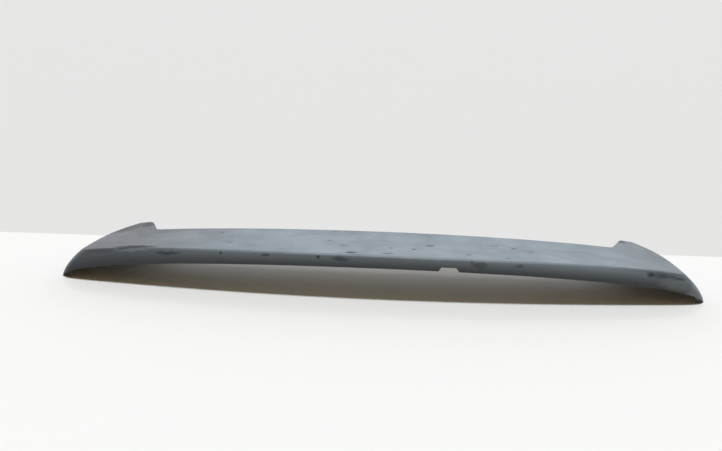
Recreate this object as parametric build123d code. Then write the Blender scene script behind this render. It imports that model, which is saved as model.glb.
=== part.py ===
from build123d import *
import math
import os

# Driving dimensions in mm: X runs across the car, Y forward and Z up from the floor it rests on
SPAN = 1208.0
DEPTH = 285.0
HEIGHT = 84.5
CHORD = 199.0
TOP_FALL = 16.5
WALL = 3.5

# Trailing lip: its face, its solid bead, its bow in plan and how far it tucks under
LIP_FACE = 25.0
LIP_THICKNESS = 10.0
LIP_BOW = 35.5
LIP_TUCK = 11.5
EDGE_RADIUS = 7.0

# Ends: the corner at the lip, where the side is widest, and how far both lean in at full height
CORNER_DRAW = 5.0
TIP_RADIUS = 20.0
WIDEST_SETBACK = 97.0
SIDE_LEAN = 96.0
CORNER_LEAN = 67.5
LEAN_CURVE = 1.45
LEAN_LEVELS = 4

# Two horns that reach forward of the leading edge
HORN_ROOT_SETBACK = 153.0
HORN_LEAN = 31.0
HORN_TIP_WIDTH = 31.0
HORN_SIDE_LEAN = 8.0
HORN_OUTER_RADIUS = 8.0
HORN_TIP_RADIUS = 9.0
HORN_ROOT_RADIUS = 14.0

# Fullness of the top arch: a small value keeps the middle flat and drops the ends steeply
FULLNESS_AT_LIP = 0.174
FULLNESS_AT_HORNS = 0.378
ARCH_MARGIN = 5.0

# Rim cut-outs: the hem's arch, the flange along the leading edge and the drain notch in the hem
HEM_END = 5.0
FLANGE = 10.0
NOTCH_X = 129.0
NOTCH_WIDTH = 26.0
NOTCH_FLARE = 6.0
NOTCH_HEIGHT = 8.0

# Stiffening ribs under the skin
RIB = 2.4
RIB_PITCH = 200.0
RIB_PAIRS = 2
RIB_CLEARANCE = 2.0

# Screw bosses: two pairs behind the leading edge and one pair in the horns
BOSS_DIAMETER = 16.0
SCREW_HOLE = 5.0
HOLE_END_WALL = 1.5
INNER_BOSS_X = 150.0
OUTER_BOSS_INSET = 61.0
BOSS_SETBACK = 30.0
HORN_BOSS_OUTSET = 42.0
HORN_BOSS_SETBACK = 36.0
HORN_BOSS_RISE = 4.0
HORN_HOLE_DEPTH = 22.0

# Sizes that follow from the ones above
HALF = SPAN / 2
LIP_Y = -DEPTH / 2
LEADING_Y = LIP_Y + CHORD
HORN_Y = DEPTH / 2
WIDEST_Y = LIP_Y + WIDEST_SETBACK
HORN_ROOT_X = HALF - HORN_ROOT_SETBACK
HEM_HEIGHT = HEIGHT - LIP_FACE
HEM_HALF = HALF - HEM_END
OUTER_BOSS_X = HORN_ROOT_X - OUTER_BOSS_INSET
BOSS_Y = LEADING_Y - BOSS_SETBACK
HORN_BOSS_X = HORN_ROOT_X + HORN_BOSS_OUTSET
HORN_BOSS_Y = HORN_Y - HORN_BOSS_SETBACK
OVERCUT = 20.0
TOP_MARGIN = 2.0


def ridge(y):
    """Height of the top skin at mid-span, falling forward from the lip."""
    return HEIGHT - TOP_FALL * (y - LIP_Y) / CHORD


def fullness(y):
    """Fullness of the top arch, growing from the lip to the horns."""
    return FULLNESS_AT_LIP + (FULLNESS_AT_HORNS - FULLNESS_AT_LIP) * (y - LIP_Y) / DEPTH


def skin_height(x, y, inset=0.0):
    """Height of the top skin, or of a surface inside it."""
    half = HALF + ARCH_MARGIN - inset
    return (ridge(y) - inset) * max(1 - (x / half) ** 2, 0.0) ** fullness(y)


def panel_height(x):
    """Height of the crowned car panel that the hem and the bosses meet."""
    return HEM_HEIGHT * math.sqrt(max(1 - (x / HEM_HALF) ** 2, 0.0))


def arch_face(y, inset):
    """Upright face across the car, under the top arch at one Y."""
    reach = HALF + ARCH_MARGIN - inset
    steps = 14
    widest = math.radians(87)
    xs = [reach * math.sin(widest * i / steps) for i in range(-steps, steps + 1)]
    top = Spline(*[(x, y, skin_height(x, y, inset)) for x in xs])
    rest = Polyline(top @ 1, (xs[-1], y, -OVERCUT), (xs[0], y, -OVERCUT), top @ 0)
    return make_face([top, rest])


def rounded(face, corners):
    """Rounds the corners of a plan face, on both sides of the car."""
    touching = 0.1
    for (x, y), radius in corners.items():
        near = [v for v in face.vertices() if math.hypot(abs(v.X) - x, v.Y - y) < touching]
        face = fillet(near, radius)
    return face


def outline_face(z, lip_inset, inset):
    """Plan outline at one height: the lip tucks under and the sides lean in."""
    lip = LIP_Y + (1 - z / HEIGHT) * LIP_TUCK + lip_inset - inset
    rise = max(z + inset, 0.0) / HEIGHT
    lean = rise**LEAN_CURVE
    corner = (HALF - CORNER_DRAW - lean * CORNER_LEAN, lip + LIP_BOW)
    widest = (HALF - lean * SIDE_LEAN, WIDEST_Y)
    horn_inner = (HORN_ROOT_X + HORN_LEAN, HORN_Y)
    horn_outer = (horn_inner[0] + HORN_TIP_WIDTH - rise * HORN_SIDE_LEAN, HORN_Y)
    root = (HORN_ROOT_X, LEADING_Y)
    back = ThreePointArc((-corner[0], corner[1]), (0, lip), corner)
    right = [
        ThreePointArc(corner, widest, horn_outer),
        Polyline(horn_outer, horn_inner, root, (0, LEADING_Y)),
    ]
    face = make_face([back, *right, *[mirror(line, Plane.YZ) for line in right]])
    rounds = {
        corner: TIP_RADIUS,
        horn_outer: HORN_OUTER_RADIUS,
        horn_inner: HORN_TIP_RADIUS,
        root: HORN_ROOT_RADIUS,
    }
    face = rounded(face, rounds)
    if inset:
        face = offset(face, -inset)
    return Pos(0, 0, z) * face


def cap(inset, lip_inset):
    """Solid under the top skin and inside the outline, drawn in by its insets."""
    arches = [arch_face(y, inset) for y in (LIP_Y - OVERCUT, HORN_Y + OVERCUT)]
    levels = [(HEIGHT + TOP_MARGIN) * i / LEAN_LEVELS for i in range(LEAN_LEVELS + 1)]
    if inset:
        levels.insert(0, -OVERCUT)
    walls = [outline_face(z, lip_inset, inset) for z in levels]
    return loft(arches, ruled=True) & loft(walls)


def outer_form():
    """Outside of the moulding, with its top edge rounded all round."""
    form = cap(0.0, 0.0)
    top = form.faces().sort_by(Axis.Z)[-1]
    return fillet(top.edges(), EDGE_RADIUS)


def along(face, start, end):
    """Runs an upright face on the XZ plane from one Y to another."""
    return extrude(Pos(0, start, 0) * face, end - start, dir=(0, 1, 0))


def panel_space(start, end, clearance=0.0):
    """Space that the crowned car panel takes under the spoiler between two Ys."""
    ellipse = Plane.XZ * Ellipse(HEM_HALF, HEM_HEIGHT + clearance)
    return along(ellipse, start, end)


def flange_cut():
    """Opens the wall under the leading edge, leaving a shallow flange."""
    reach = HORN_ROOT_X - HORN_ROOT_RADIUS
    steps = 6
    xs = [reach * i / steps for i in range(-steps, steps + 1)]
    top = Spline(*[(x, 0, skin_height(x, LEADING_Y) - FLANGE) for x in xs])
    rest = Polyline(top @ 1, (reach, 0, -OVERCUT), (-reach, 0, -OVERCUT), top @ 0)
    return along(make_face([top, rest]), LEADING_Y - 2 * WALL, LEADING_Y + WALL)


def notch_cut():
    """Drain notch with flared sides in the hem of the lip."""
    base = panel_height(NOTCH_X)
    top = NOTCH_WIDTH / 2
    wide = top + NOTCH_FLARE
    points = [
        (NOTCH_X - wide, 0, base - NOTCH_HEIGHT),
        (NOTCH_X - wide, 0, base),
        (NOTCH_X - top, 0, base + NOTCH_HEIGHT),
        (NOTCH_X + top, 0, base + NOTCH_HEIGHT),
        (NOTCH_X + wide, 0, base),
        (NOTCH_X + wide, 0, base - NOTCH_HEIGHT),
    ]
    face = make_face(Polyline(*points, close=True))
    return along(face, LIP_Y - OVERCUT, LIP_Y + 2 * OVERCUT)


def ribs():
    """Cross ribs at an even pitch, each above the car panel."""
    slabs = []
    for i in range(RIB_PAIRS):
        x = RIB_PITCH * (i + 0.5)
        slabs += [Pos(side * x, 0, 0) * Box(RIB, DEPTH, 2 * HEIGHT) for side in (-1, 1)]
    floor = Pos(0, 0, RIB_CLEARANCE - HEIGHT) * Box(SPAN, DEPTH, 2 * HEIGHT)
    panel = panel_space(LIP_Y, HORN_Y, RIB_CLEARANCE)
    return [slab - panel - floor for slab in slabs]


def boss_places():
    """Centre, lower end and hole depth of each screw boss."""
    places = []
    for side in (-1, 1):
        for x in (INNER_BOSS_X, OUTER_BOSS_X):
            base = panel_height(x)
            depth = skin_height(x, BOSS_Y) - WALL - HOLE_END_WALL - base
            places.append((side * x, BOSS_Y, base, depth))
        places.append((side * HORN_BOSS_X, HORN_BOSS_Y, HORN_BOSS_RISE, HORN_HOLE_DEPTH))
    return places


def upright(place, diameter, height):
    """Upright cylinder whose lower end is at one place."""
    return Pos(*place) * Cylinder(diameter / 2, height, align=(Align.CENTER, Align.CENTER, Align.MIN))


def spoiler_shell():
    """The whole moulding: hollow skin, lip, rim cut-outs, ribs and screw bosses."""
    shell = outer_form() - cap(WALL, LIP_THICKNESS)
    shell -= panel_space(LIP_Y - OVERCUT, LIP_Y + LIP_BOW + TIP_RADIUS)
    shell -= flange_cut()
    shell -= notch_cut()
    stiffening = ribs()
    holes = []
    for x, y, base, depth in boss_places():
        stiffening.append(upright((x, y, base), BOSS_DIAMETER, HEIGHT))
        holes.append(upright((x, y, base), SCREW_HOLE, depth))
    core = cap(WALL / 2, LIP_THICKNESS / 2)
    for piece in stiffening:
        shell += piece & core
    shell -= holes
    return Pos(0, -shell.bounding_box().center().Y, 0) * shell


def main():
    os.makedirs("parts", exist_ok=True)
    export_step(spoiler_shell(), "parts/spoiler_shell.step")


main()
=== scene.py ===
import math

import bpy
from bpy.props import FloatProperty, FloatVectorProperty, PointerProperty
from bpy.types import NodeSocket, Operator, Panel, PropertyGroup
from mathutils import Matrix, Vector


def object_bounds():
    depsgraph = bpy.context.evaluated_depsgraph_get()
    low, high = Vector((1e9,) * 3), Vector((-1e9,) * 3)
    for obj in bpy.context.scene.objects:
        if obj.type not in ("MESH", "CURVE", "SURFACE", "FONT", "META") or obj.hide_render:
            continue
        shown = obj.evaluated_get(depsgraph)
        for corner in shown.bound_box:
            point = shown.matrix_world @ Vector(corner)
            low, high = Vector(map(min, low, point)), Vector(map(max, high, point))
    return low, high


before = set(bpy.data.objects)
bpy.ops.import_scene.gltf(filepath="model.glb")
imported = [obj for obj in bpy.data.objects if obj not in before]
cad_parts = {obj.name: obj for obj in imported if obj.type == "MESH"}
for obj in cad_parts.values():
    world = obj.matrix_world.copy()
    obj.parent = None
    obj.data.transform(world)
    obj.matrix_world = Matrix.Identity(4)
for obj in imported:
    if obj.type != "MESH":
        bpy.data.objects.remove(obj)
CAD_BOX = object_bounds()

bl_info = {
    "name": "Roof Spoiler",
    "version": (1, 0, 0),
    "blender": (4, 5, 0),
    "location": "View3D > Sidebar > Spoiler",
    "description": "Finish of a weathered one-piece roof spoiler and the stage that it stands on",
    "category": "Object",
}

SHELL = "spoiler_shell"
MM = 0.001

# Face of the lip, and the arch of the hem under it, which follows from the CAD box
LIP_FACE = 24.2 * MM
HEM_END = 5 * MM
HEM_HEIGHT = CAD_BOX[1][2] - LIP_FACE
HEM_HALF = CAD_BOX[1][0] - HEM_END

# Share of the lighter top that is left towards the left end, the right end and the front edge: partly
# sun-bleaching, and partly painted sheen that falls off there
LEFT_FADE = {"From Min": -220 * MM, "From Max": -500 * MM, "To Min": 1.0, "To Max": 0.2}
RIGHT_FADE = {"From Min": 400 * MM, "From Max": 530 * MM, "To Min": 1.0, "To Max": 0.58}
FRONT_FADE = {"From Min": 0.0, "From Max": 57 * MM, "To Min": 0.97, "To Max": 0.82}

# The lip's face keeps at least this share of its lighter crest, a painted highlight, where the span has
# faded
LIP_LEAST = {"To Min": 0.2, "To Max": 1.0}

# Share of the lighter top, partly bleaching and partly painted sheen, and roughness over the values
# that the noise of the patches mostly has
PATCHES = {"From Min": 0.3, "From Max": 0.7, "To Min": 0.82, "To Max": 1.1}
SATIN = {"From Min": 0.3, "From Max": 0.7, "To Min": 0.55, "To Max": 0.41}

# Values of the normal's Y or Z over which a face comes to count as what each name says
FACING_BACK = {"From Min": -0.25, "From Max": -0.7}
FACING_DOWN = {"From Min": 0.05, "From Max": -0.15}
FACING_UP = {"From Min": 0.35, "From Max": 0.95}
OUTSIDE = {"From Min": -0.6, "From Max": -0.3}

# A spot has its full strength within the first share of its size and none beyond the second
SPOT_CORE = 0.4
SPOT_EDGE = 1.15

# Width of the ragged bays along a spot's edge, and how far they swing from in to out
RAGGED_WIDTH = 14 * MM
RAGGED_SWING = 9 * MM

# Smudges, and painted shade at the horns: centre in mm, then length, depth and height in mm, turn in
# degrees and strength
SMUDGES_AND_SHADE = (
    # On the top skin
    ((-49, -124, 83), (25, 13, 24), 0, 0.85),
    ((18, -120, 83), (24, 8, 24), 4, 0.8),
    ((65, -82, 79), (11, 12, 24), 0, 0.6),
    ((95, -49, 76), (20, 13, 24), 8, 0.7),
    ((216, -22, 72), (23, 13, 24), 0, 0.35),
    ((252, -33, 72), (13, 13, 24), 0, 0.35),
    ((166, -102, 80), (12, 12, 24), 0, 0.4),
    ((236, -112, 79), (13, 12, 24), 0, 0.4),
    ((-95, -37, 75), (12, 13, 24), 0, 0.4),
    ((-67, -73, 78), (12, 13, 24), 0, 0.4),
    ((22, -79, 79), (12, 12, 24), 0, 0.4),
    ((283, -51, 73), (24, 9, 24), 35, 0.3),
    ((-312, 13, 66), (17, 16, 24), 0, 0.25),
    ((-281, -68, 74), (16, 14, 24), 0, 0.25),
    ((-92, 36, 69), (16, 14, 24), 0, 0.25),
    # On the face of the lip, up to its crest
    ((-67, -141, 76), (42, 24, 12), 0, 0.6),
    ((184, -138, 73), (38, 24, 16), 0, 0.5),
    ((256, -134, 73), (19, 24, 9), 0, 0.5),
    ((-204, -137, 75), (20, 24, 7), 0, 0.6),
    ((516, -109, 56), (70, 30, 14), 0, 0.5),
    ((494, -112, 59), (18, 30, 10), 0, 0.85),
    ((516, -109, 55), (24, 30, 8), 0, 0.65),
    ((545, -105, 51), (40, 30, 6), 0, 0.6),
    ((-386, -123, 67), (56, 24, 7), 0, 0.7),
    ((-107, -140, 78), (7, 14, 7), 0, 0.9),
    ((-286, -131, 74), (7, 14, 7), 0, 0.9),
    ((171, -137, 79), (5, 12, 5), 0, 1.0),
    # Beside the crest at the left end
    ((-452, -103, 71), (92, 26, 24), -3, 0.9),
    # On the horns: darker tips, painted shade for their rolled corners, and the top drawn darker
    # towards the far edge at the left horn
    ((-485, 110, 45), (34, 70, 40), 0, 0.45),
    ((-525, 85, 42), (70, 130, 40), -15, 0.25),
    ((482, 122, 44), (24, 40, 40), 0, 0.5),
)

# Places scuffed down to paler plastic, and painted highlights, in the same order of values
RUBBED_AND_HIGHLIGHTS = (
    # Along the crest of the lip: a pale scuff at the left end, then painted highlights on the rounded
    # crest
    ((-456, -115, 67), (88, 12, 6), -5, 0.6),
    ((90, -137, 82), (150, 16, 10), 2, 0.5),
    ((215, -132, 80), (150, 16, 10), 5, 0.5),
    ((405, -121, 71), (170, 18, 12), 6, 0.4),
    # At the right corner: painted light where the rounded corner catches the light
    ((584, -98, 20), (50, 60, 46), 0, 0.6),
    ((546, -105, 38), (90, 30, 26), 0, 0.35),
)

# Room light by the way it comes from: above, behind and below the top of what glows behind,
# and how bright and how cool that glow is
FROM_ABOVE = {"From Min": 0.3, "From Max": 0.8}
FROM_BEHIND = {"From Min": -0.1, "From Max": 0.4}
BELOW_TOP = {"From Min": 0.5, "From Max": 0.95, "To Min": 1.0, "To Max": 0.0}
GLOW = {"From Min": 0.3, "From Max": 0.65, "To Min": 1.42, "To Max": 0.55}
GLOW_TINT = (0.97, 1.0, 1.03)

# Half the width of the stage in metres, and the width of the camera's sensor in mm
STAGE_REACH = 60.0
SENSOR_WIDTH = 36

# Options of nodes, and the sockets of a colour mix: its two colours and its result
SMOOTH = {"interpolation_type": "SMOOTHSTEP"}
AS_COLOUR = {"data_type": "RGBA"}
FIRST = 6
SECOND = 7
MIXED = 2


def linear(hex_colour):
    """Turns an sRGB hex colour into linear red, green and blue."""
    parts = [int(hex_colour[i : i + 2], 16) / 255 for i in (1, 3, 5)]
    return tuple(c / 12.92 if c <= 0.04045 else ((c + 0.055) / 1.055) ** 2.4 for c in parts)


def add_node(tree, kind, inputs, **settings):
    """Adds a node, sets its options, and gives each input a value or a link."""
    made = tree.nodes.new(kind)
    for name, value in settings.items():
        setattr(made, name, value)
    for key, value in inputs.items():
        if isinstance(value, NodeSocket):
            tree.links.new(value, made.inputs[key])
        else:
            made.inputs[key].default_value = value
    return made.outputs


class SpoilerShellSettings(PropertyGroup):
    """Colours and sizes of the moulded shell's finish."""

    # Partly sun-bleached plastic and partly painted sheen: the top is drawn lighter where it faces up
    bleached_and_sheen: FloatVectorProperty(
        name="Bleached top",
        description="Chalky grey of the skin that faces the sun",
        subtype="COLOR",
        default=linear("#77858f"),
        min=0,
        max=1,
    )
    # Partly dust and partly painted loss of sheen: the top is drawn darker and less blue towards the
    # ends
    ends: FloatVectorProperty(
        name="Ends of the top",
        description="Duller, dusty grey of the top skin where it is less bleached",
        subtype="COLOR",
        default=linear("#3d393e"),
        min=0,
        max=1,
    )
    # Painted highlight: the lip's face is drawn lighter at its crest
    crest: FloatVectorProperty(
        name="Lip at its crest",
        description="Half-bleached grey at the top of the lip's face",
        subtype="COLOR",
        default=linear("#7a8690"),
        min=0,
        max=1,
    )
    bare: FloatVectorProperty(
        name="Bare plastic",
        description="Dark grey of the outside where the sun has hardly reached it",
        subtype="COLOR",
        default=linear("#2d3238"),
        min=0,
        max=1,
    )
    inside: FloatVectorProperty(
        name="Inside",
        description="Dusty grey of the hollow side",
        subtype="COLOR",
        default=linear("#7d7568"),
        min=0,
        max=1,
    )
    # Also the colour of the painted shade at the horn tips and of the darker top by the left horn
    soiled_and_shade: FloatVectorProperty(
        name="Soiled spots",
        description="Dark grey of smudges",
        subtype="COLOR",
        default=linear("#34373b"),
        min=0,
        max=1,
    )
    # Also the colour of the painted highlights along the crest and at the right corner
    rubbed_and_highlight: FloatVectorProperty(
        name="Rubbed places",
        description="Pale grey of plastic rubbed along an edge",
        subtype="COLOR",
        default=linear("#828a91"),
        min=0,
        max=1,
    )
    # Painted shade: how fast the lip's face darkens from its crest down to its hem
    lip_shade_fall: FloatProperty(
        name="Lip fall",
        description="How steeply the bleaching falls from the lip's crest to its hem",
        default=1.6,
        min=0.1,
    )
    dullness: FloatProperty(
        name="Dullness",
        description="Roughness that soiled spots have beyond the skin's",
        subtype="FACTOR",
        default=0.45,
        min=0,
        max=1,
    )
    grain: FloatProperty(
        name="Grain",
        description="Width at which the moulded grain is drawn",
        subtype="DISTANCE",
        unit="LENGTH",
        default=2.5 * MM,
        min=0.5 * MM,
    )
    grain_depth: FloatProperty(
        name="Grain depth",
        description="Depth of the moulded grain",
        subtype="DISTANCE",
        unit="LENGTH",
        default=0.1 * MM,
        min=0,
    )
    blotch: FloatProperty(
        name="Blotches",
        description="Width of the uneven patches that weather leaves",
        subtype="DISTANCE",
        unit="LENGTH",
        default=70 * MM,
        min=5 * MM,
    )


class SpoilerStageSettings(PropertyGroup):
    """Colours, lamps and camera of the stage."""

    floor: FloatVectorProperty(
        name="Floor",
        description="White of the floor",
        subtype="COLOR",
        default=linear("#f8f8f6"),
        min=0,
        max=1,
    )
    backdrop: FloatVectorProperty(
        name="Backdrop",
        description="Pale grey behind the spoiler",
        subtype="COLOR",
        default=linear("#e3e3e1"),
        min=0,
        max=1,
    )
    backdrop_y: FloatProperty(
        name="Backdrop edge",
        description="How far behind the spoiler's middle the backdrop starts",
        subtype="DISTANCE",
        unit="LENGTH",
        default=0.17,
    )
    backdrop_turn: FloatProperty(
        name="Backdrop turn",
        description="How far the backdrop's edge is turned from the spoiler's length",
        subtype="ANGLE",
        unit="ROTATION",
        default=math.radians(0.9),
    )
    room_front: FloatVectorProperty(
        name="Room in front",
        description="Dim, warm light of the room in front and at the sides",
        subtype="COLOR",
        default=(0.13, 0.09, 0.03),
        min=0,
        max=1,
    )
    room_above: FloatVectorProperty(
        name="Room above",
        description="Dim, warm light of the room above",
        subtype="COLOR",
        default=(0.18, 0.14, 0.09),
        min=0,
        max=1,
    )
    daylight: FloatVectorProperty(
        name="Daylight",
        description="Cool white of both lamps, which evens out the warm room",
        subtype="COLOR",
        default=(0.91, 0.95, 1.0),
        min=0,
        max=1,
    )
    overhead: FloatProperty(
        name="Overhead lamp",
        description="Strength of the lamp straight above",
        default=2.17,
        min=0,
    )
    overhead_width: FloatProperty(
        name="Overhead width",
        description="Angle that the lamp straight above fills, which softens its shadows",
        subtype="ANGLE",
        unit="ROTATION",
        default=math.radians(8),
        min=0,
    )
    from_behind: FloatProperty(
        name="Lamp behind",
        description="Strength of the lamp behind the spoiler",
        default=0.24,
        min=0,
    )
    behind_width: FloatProperty(
        name="Width behind",
        description="Angle that the lamp behind fills, which softens its shadows",
        subtype="ANGLE",
        unit="ROTATION",
        default=math.radians(11),
        min=0,
    )
    behind_tilt: FloatProperty(
        name="Tilt behind",
        description="How far back from straight overhead the lamp behind stands",
        subtype="ANGLE",
        unit="ROTATION",
        default=math.radians(45),
    )
    camera_place: FloatVectorProperty(
        name="Camera place",
        description="Where the camera stands",
        subtype="XYZ",
        unit="LENGTH",
        default=(0.066, -1.83996, 0.6784),
    )
    camera_turn: FloatVectorProperty(
        name="Camera turn",
        description="Pitch down, yaw to the right and roll of the camera",
        subtype="EULER",
        unit="ROTATION",
        default=(0.3063, -0.0568, 0.022),
    )
    lens: FloatProperty(
        name="Lens",
        description="Focal length on a 36 mm wide sensor",
        subtype="DISTANCE_CAMERA",
        unit="CAMERA",
        default=50,
        min=10,
    )


def hem_height(x):
    """Height of the arched hem at one place across the car."""
    return HEM_HEIGHT * math.sqrt(max(1 - (x / HEM_HALF) ** 2, 0))


def place_over_hem(tree, place):
    """Turns a place's height into its height above the arched hem."""
    axes = add_node(tree, "ShaderNodeSeparateXYZ", {0: place})
    across = add_node(tree, "ShaderNodeMath", {0: axes["X"], 1: HEM_HALF}, operation="DIVIDE")
    square = add_node(tree, "ShaderNodeMath", {0: across[0], 1: across[0]}, operation="MULTIPLY")
    rest = add_node(
        tree, "ShaderNodeMath", {0: 1.0, 1: square[0]}, operation="SUBTRACT", use_clamp=True
    )
    arch = add_node(tree, "ShaderNodeMath", {0: rest[0]}, operation="SQRT")
    hem = add_node(tree, "ShaderNodeMath", {0: arch[0], 1: HEM_HEIGHT}, operation="MULTIPLY")
    above = add_node(tree, "ShaderNodeMath", {0: axes["Z"], 1: hem[0]}, operation="SUBTRACT")
    over = {"X": axes["X"], "Y": axes["Y"], "Z": above[0]}
    return add_node(tree, "ShaderNodeCombineXYZ", over)[0]


def spot_mask(tree, over_hem, spots):
    """How far each place lies in any of the spots, from 0 to 1."""
    mask = 0.0
    for (x, y, z), size, turn, strength in spots:
        spot = add_node(
            tree,
            "ShaderNodeMapping",
            {
                "Vector": over_hem,
                "Location": (x * MM, y * MM, z * MM - hem_height(x * MM)),
                "Rotation": (0, 0, math.radians(turn)),
                "Scale": [s * MM / 2 for s in size],
            },
            vector_type="TEXTURE",
        )
        away = add_node(tree, "ShaderNodeVectorMath", {0: spot[0]}, operation="LENGTH")
        fall = {"From Min": SPOT_CORE, "From Max": SPOT_EDGE, "To Min": strength, "To Max": 0.0}
        soft = add_node(tree, "ShaderNodeMapRange", {"Value": away["Value"], **fall}, **SMOOTH)
        mask = add_node(tree, "ShaderNodeMath", {0: mask, 1: soft[0]}, operation="MAXIMUM")[0]
    return mask


def mark_masks(tree, place, normal):
    """Masks of the smudges with painted shade at the horns, and of the scuffed places with painted
    highlights, with ragged edges and on the outside only.
    """
    bays = {"Vector": place, "Scale": 1 / RAGGED_WIDTH, "Detail": 3.0}
    ragged = add_node(tree, "ShaderNodeTexNoise", bays)
    centred = {0: ragged["Color"], 1: (0.5, 0.5, 0.5)}
    push = add_node(tree, "ShaderNodeVectorMath", centred, operation="SUBTRACT")
    pushed = {0: push[0], 1: (RAGGED_SWING, RAGGED_SWING, RAGGED_SWING), 2: place}
    shifted = add_node(tree, "ShaderNodeVectorMath", pushed, operation="MULTIPLY_ADD")
    over_hem = place_over_hem(tree, shifted[0])
    outside = add_node(tree, "ShaderNodeMapRange", {"Value": normal["Z"], **OUTSIDE})
    masks = []
    for spots in (SMUDGES_AND_SHADE, RUBBED_AND_HIGHLIGHTS):
        both = {0: spot_mask(tree, over_hem, spots), 1: outside[0]}
        masks.append(add_node(tree, "ShaderNodeMath", both, operation="MULTIPLY")[0])
    return masks


def end_fade(tree, across):
    """1 over the middle of the span, falling towards the ends, further at the left one."""
    left = add_node(tree, "ShaderNodeMapRange", {"Value": across, **LEFT_FADE})
    right = add_node(tree, "ShaderNodeMapRange", {"Value": across, **RIGHT_FADE})
    return add_node(tree, "ShaderNodeMath", {0: left[0], 1: right[0]}, operation="MULTIPLY")[0]


def lip_colour_and_shade(tree, finish, place, fade):
    """Colour of the lip's face: lighter at its crest, a painted highlight, falling to bare dark grey at
    its hem, painted shade, and barer at the ends.
    """
    above = add_node(tree, "ShaderNodeSeparateXYZ", {0: place_over_hem(tree, place)})
    # Painted shade and highlight: the lip's face darkens from its crest down to its hem
    height = add_node(
        tree, "ShaderNodeMath", {0: above["Z"], 1: LIP_FACE}, operation="DIVIDE", use_clamp=True
    )
    rise = add_node(tree, "ShaderNodeMath", {0: height[0], 1: finish.lip_shade_fall}, operation="POWER")
    dim = add_node(tree, "ShaderNodeMapRange", {"Value": fade, **LIP_LEAST})
    crest_light = add_node(tree, "ShaderNodeMath", {0: rise[0], 1: dim[0]}, operation="MULTIPLY")
    colours = {0: crest_light[0], FIRST: (*finish.bare, 1), SECOND: (*finish.crest, 1)}
    return add_node(tree, "ShaderNodeMix", colours, **AS_COLOUR)[MIXED]


def shaded_colour(tree, finish, normal, lip):
    """Colour of faces that don't look up: the lip's face, bare sides and the dusty hollow side."""
    downward = add_node(tree, "ShaderNodeMapRange", {"Value": normal["Z"], **FACING_DOWN}, **SMOOTH)
    colours = {0: downward[0], FIRST: (*finish.bare, 1), SECOND: (*finish.inside, 1)}
    hollow = add_node(tree, "ShaderNodeMix", colours, **AS_COLOUR)
    backward = add_node(tree, "ShaderNodeMapRange", {"Value": normal["Y"], **FACING_BACK}, **SMOOTH)
    colours = {0: backward[0], FIRST: hollow[MIXED], SECOND: lip}
    return add_node(tree, "ShaderNodeMix", colours, **AS_COLOUR)[MIXED]


def bleach_and_sheen_mask(tree, along, upward, fade, blotch):
    """How far each place takes the lighter top, partly sun-bleaching and partly painted sheen: most on
    top, less at the ends, in uneven patches.
    """
    front = add_node(tree, "ShaderNodeMapRange", {"Value": along, **FRONT_FADE})
    patches = add_node(tree, "ShaderNodeMapRange", {"Value": blotch, **PATCHES})
    share = upward
    for part in (fade, front[0], patches[0]):
        both = {0: share, 1: part}
        share = add_node(tree, "ShaderNodeMath", both, operation="MULTIPLY", use_clamp=True)[0]
    return share


def skin_colour(tree, finish, place, normal, blotch):
    """Colour without marks: a dusty top, lighter most in the middle of the span from bleaching and
    painted sheen, over shaded faces.
    """
    axes = add_node(tree, "ShaderNodeSeparateXYZ", {0: place})
    fade = end_fade(tree, axes["X"])
    shaded = shaded_colour(tree, finish, normal, lip_colour_and_shade(tree, finish, place, fade))
    upward = add_node(tree, "ShaderNodeMapRange", {"Value": normal["Z"], **FACING_UP}, **SMOOTH)
    # Faces that look up take the darker grey of the ends, partly dust and partly painted loss of sheen
    colours = {0: upward[0], FIRST: shaded, SECOND: (*finish.ends, 1)}
    dusty = add_node(tree, "ShaderNodeMix", colours, **AS_COLOUR)
    bleach_and_sheen = bleach_and_sheen_mask(tree, axes["Y"], upward[0], fade, blotch)
    colours = {0: bleach_and_sheen, FIRST: dusty[MIXED], SECOND: (*finish.bleached_and_sheen, 1)}
    return add_node(tree, "ShaderNodeMix", colours, **AS_COLOUR)[MIXED]


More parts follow.
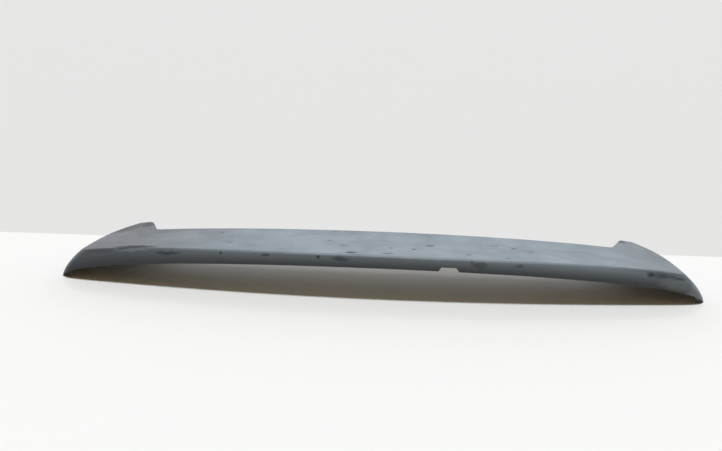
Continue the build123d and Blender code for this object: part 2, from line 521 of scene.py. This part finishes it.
def weathered_plastic(finish):
    """Material of the whole shell."""
    # ABS, moulded with a fine grain and left in the sun: the eye sees a satin top drawn lighter, partly
    # chalky bleaching and partly painted sheen, dark grey where the sun hardly reached, and painted
    # shade down the lip's face
    material = bpy.data.materials.new("abs_moulded_bleached_painted_sheen")
    material.use_nodes = True
    tree = material.node_tree
    shader = tree.nodes["Principled BSDF"]
    coords = add_node(tree, "ShaderNodeTexCoord", {})
    place = coords["Object"]
    normal = add_node(tree, "ShaderNodeSeparateXYZ", {0: coords["Normal"]})

    # Uneven patches, and a grain that is drawn coarser than the real half millimetre so that it shows
    uneven = {"Vector": place, "Scale": 1 / finish.blotch, "Detail": 5.0, "Roughness": 0.65}
    blotch = add_node(tree, "ShaderNodeTexNoise", uneven)["Fac"]
    moulded = {"Vector": place, "Scale": 1 / finish.grain, "Detail": 2.0, "Roughness": 0.5}
    grain = add_node(tree, "ShaderNodeTexNoise", moulded)["Fac"]

    # Smudges and painted shade lie on the skin, and scuffed places and painted highlights over both
    colour = skin_colour(tree, finish, place, normal, blotch)
    smudge_and_shade, rub_and_highlight = mark_masks(tree, place, normal)
    for mask, marked in ((smudge_and_shade, finish.soiled_and_shade), (rub_and_highlight, finish.rubbed_and_highlight)):
        colours = {0: mask, FIRST: colour, SECOND: (*marked, 1)}
        colour = add_node(tree, "ShaderNodeMix", colours, **AS_COLOUR)[MIXED]
    tree.links.new(colour, shader.inputs["Base Color"])

    # Satin, smoother in the lighter patches and dull under the smudges and the painted shade
    satin = add_node(tree, "ShaderNodeMapRange", {"Value": blotch, **SATIN})
    rougher = {0: smudge_and_shade, 1: finish.dullness, 2: satin[0]}
    dull = add_node(tree, "ShaderNodeMath", rougher, operation="MULTIPLY_ADD")
    tree.links.new(dull[0], shader.inputs["Roughness"])
    relief = {"Height": grain, "Strength": 0.5, "Distance": finish.grain_depth}
    bump = add_node(tree, "ShaderNodeBump", relief)
    tree.links.new(bump[0], shader.inputs["Normal"])
    shader.inputs["IOR"].default_value = 1.5
    return material


class SPOILER_OT_shell(Operator):
    """Gives the moulded shell its weathered finish"""

    bl_idname = "spoiler.shell"
    bl_label = "Shell"

    def execute(self, context):
        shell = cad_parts[SHELL]
        shell.data.materials.clear()
        shell.data.materials.append(weathered_plastic(context.scene.spoiler_shell))
        return {"FINISHED"}


def pale_material(name, colour):
    """Material of one sheet of the stage."""
    # Matt paint: the eye sees one even pale face with hardly any shine
    material = bpy.data.materials.new(name)
    material.use_nodes = True
    shader = material.node_tree.nodes["Principled BSDF"]
    shader.inputs["Base Color"].default_value = (*colour, 1)
    shader.inputs["Roughness"].default_value = 0.9
    shader.inputs["Specular IOR Level"].default_value = 0.1
    return material


def ground(name, corners, material):
    """A flat four-sided sheet of the stage."""
    mesh = bpy.data.meshes.new(name)
    mesh.from_pydata([(x, y, 0) for x, y in corners], [], [(0, 1, 2, 3)])
    mesh.materials.append(material)
    sheet = bpy.data.objects.new(name, mesh)
    bpy.context.scene.collection.objects.link(sheet)


def lay_ground(stage):
    """The floor, and the backdrop that meets it along a slightly turned edge."""
    reach = STAGE_REACH
    rise = reach * math.tan(stage.backdrop_turn)
    left = (-reach, stage.backdrop_y - rise)
    right = (reach, stage.backdrop_y + rise)
    floor = pale_material("floor_matt_paint", stage.floor)
    backdrop = pale_material("backdrop_matt_paint", stage.backdrop)
    ground("floor", [(-reach, -reach), (reach, -reach), right, left], floor)
    ground("backdrop", [left, right, (reach, reach), (-reach, reach)], backdrop)


def lamp(name, strength, colour, width, tilt):
    """A sun lamp, tilted back from straight overhead."""
    data = bpy.data.lights.new(name, "SUN")
    data.energy = strength
    data.color = colour
    data.angle = width
    made = bpy.data.objects.new(name, data)
    made.rotation_euler = (-tilt, 0, 0)
    bpy.context.scene.collection.objects.link(made)


def room_light(stage):
    """Soft light of the room: a cool glow behind the spoiler, and dim and warm elsewhere."""
    world = bpy.data.worlds.new("room")
    world.use_nodes = True
    tree = world.node_tree
    background = tree.nodes["Background"]
    coords = add_node(tree, "ShaderNodeTexCoord", {})
    way = add_node(tree, "ShaderNodeSeparateXYZ", {0: coords["Generated"]})
    above = add_node(tree, "ShaderNodeMapRange", {"Value": way["Z"], **FROM_ABOVE}, **SMOOTH)
    behind = add_node(tree, "ShaderNodeMapRange", {"Value": way["Y"], **FROM_BEHIND}, **SMOOTH)
    low = add_node(tree, "ShaderNodeMapRange", {"Value": way["Z"], **BELOW_TOP}, **SMOOTH)
    glowing = add_node(tree, "ShaderNodeMath", {0: behind[0], 1: low[0]}, operation="MULTIPLY")
    glow = add_node(tree, "ShaderNodeMapRange", {"Value": way["Z"], **GLOW}, **SMOOTH)
    cool = add_node(
        tree, "ShaderNodeVectorMath", {0: GLOW_TINT, "Scale": glow[0]}, operation="SCALE"
    )
    colours = {0: above[0], FIRST: (*stage.room_front, 1), SECOND: (*stage.room_above, 1)}
    room = add_node(tree, "ShaderNodeMix", colours, **AS_COLOUR)
    colours = {0: glowing[0], FIRST: room[MIXED], SECOND: cool[0]}
    light = add_node(tree, "ShaderNodeMix", colours, **AS_COLOUR)
    tree.links.new(light[MIXED], background.inputs["Color"])
    return world


def stage_camera(stage):
    """The camera at its place, with its pitch, yaw and roll."""
    data = bpy.data.cameras.new("camera")
    data.lens = stage.lens
    data.sensor_width = SENSOR_WIDTH
    data.sensor_fit = "HORIZONTAL"
    camera = bpy.data.objects.new("camera", data)
    pitch, yaw, roll = stage.camera_turn
    turn = Matrix.Rotation(-yaw, 4, "Z") @ Matrix.Rotation(math.pi / 2 - pitch, 4, "X")
    turn = turn @ Matrix.Rotation(roll, 4, "Z")
    camera.matrix_world = Matrix.Translation(stage.camera_place) @ turn
    bpy.context.scene.collection.objects.link(camera)
    return camera


class SPOILER_OT_stage(Operator):
    """Lays the floor and the backdrop, lights them and sets the camera"""

    bl_idname = "spoiler.stage"
    bl_label = "Stage"

    def execute(self, context):
        stage = context.scene.spoiler_stage
        lay_ground(stage)
        lamp("overhead", stage.overhead, stage.daylight, stage.overhead_width, 0)
        lamp("from_behind", stage.from_behind, stage.daylight, stage.behind_width, stage.behind_tilt)
        context.scene.world = room_light(stage)
        context.scene.camera = stage_camera(stage)
        context.scene.view_settings.view_transform = "Standard"
        return {"FINISHED"}


class SPOILER_PT_panel(Panel):
    """Lists the pieces and the stage"""

    bl_idname = "SPOILER_PT_panel"
    bl_label = "Roof Spoiler"
    bl_space_type = "VIEW_3D"
    bl_region_type = "UI"
    bl_category = "Spoiler"

    def draw(self, context):
        for operator, settings in (
            (SPOILER_OT_shell, context.scene.spoiler_shell),
            (SPOILER_OT_stage, context.scene.spoiler_stage),
        ):
            box = self.layout.box()
            box.operator(operator.bl_idname)
            for name in settings.__annotations__:
                box.prop(settings, name)


CLASSES = (
    SpoilerShellSettings,
    SpoilerStageSettings,
    SPOILER_OT_shell,
    SPOILER_OT_stage,
    SPOILER_PT_panel,
)


def register():
    for cls in CLASSES:
        bpy.utils.register_class(cls)
    bpy.types.Scene.spoiler_shell = PointerProperty(type=SpoilerShellSettings)
    bpy.types.Scene.spoiler_stage = PointerProperty(type=SpoilerStageSettings)


def unregister():
    del bpy.types.Scene.spoiler_stage
    del bpy.types.Scene.spoiler_shell
    for cls in reversed(CLASSES):
        bpy.utils.unregister_class(cls)


def main():
    register()
    bpy.ops.spoiler.shell()
    bpy.ops.spoiler.stage()


if __name__ == "__main__":
    main()
